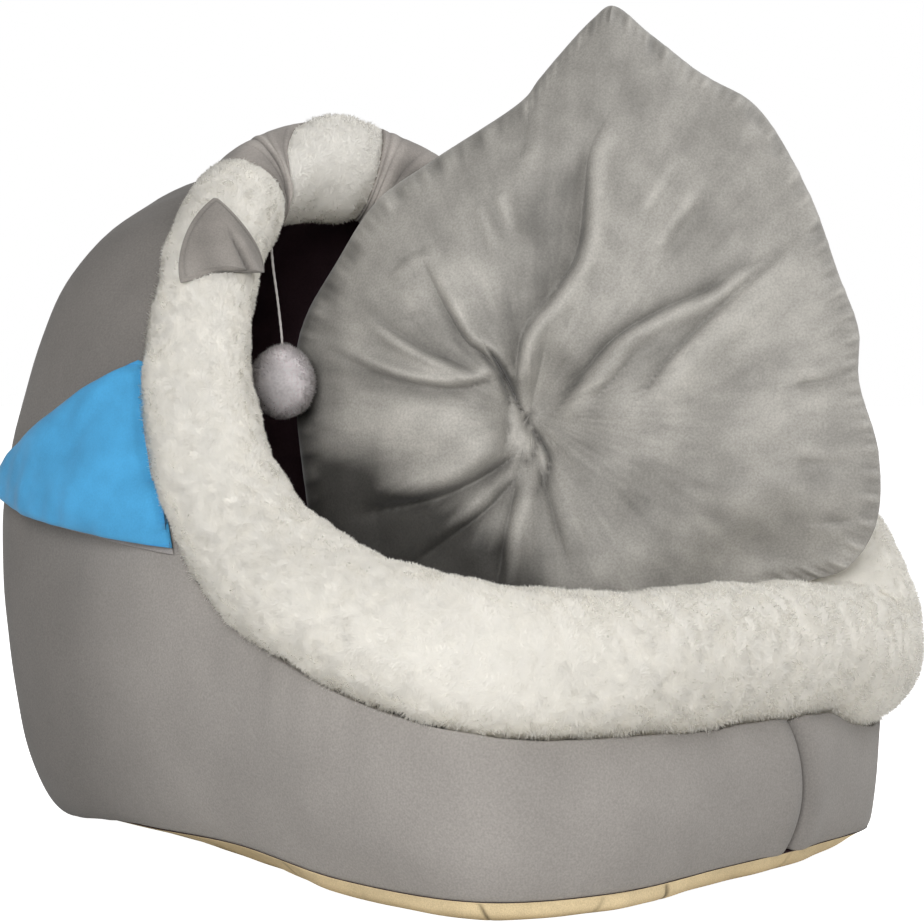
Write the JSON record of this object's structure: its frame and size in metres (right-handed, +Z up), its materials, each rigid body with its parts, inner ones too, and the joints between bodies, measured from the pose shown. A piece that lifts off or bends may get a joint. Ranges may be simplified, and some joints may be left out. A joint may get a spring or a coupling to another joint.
{
  "type": "hooded cat bed with loose cushion",
  "caption": "Soft hooded cat bed with a rolled plush rim, ears, stuffed side flaps, a hanging pompom and a loose cushion stood up in its mouth.",
  "frame": {"origin": "centre of the flat underside of the gathered bottom pad, on the surface it stands on", "axes": "+Z up; the mouth faces -Y and the hood is at +Y; +X is to the right of someone who looks into the mouth"},
  "size_m": [0.4427, 0.4963, 0.497],
  "materials": {
    "body_velour": "short matt velour",
    "rim_plush": "long soft pile",
    "stripe_velour": "short matt velour",
    "sole_cloth": "plain matt weave",
    "ear_suede": "brushed matt",
    "flap_velour": "short smooth velour",
    "cushion_velvet": "velvet with a soft sheen",
    "string": "plain elastic",
    "pompom_fur": "fluffy"
  },
  "bodies": {
    "root": {"wall_left": "body_velour", "wall_right": "body_velour", "sole_pad": "sole_cloth", "rim_plush": "rim_plush", "rim_band": "rim_plush", "rim_stripe_right": "stripe_velour", "rim_stripe_left": "stripe_velour", "ear_left": "ear_suede", "ear_right": "ear_suede", "flap_left": "flap_velour", "flap_right": "flap_velour", "cushion": "cushion_velvet", "pompom_string": "string", "pompom": "pompom_fur"}
  },
  "joints": []
}
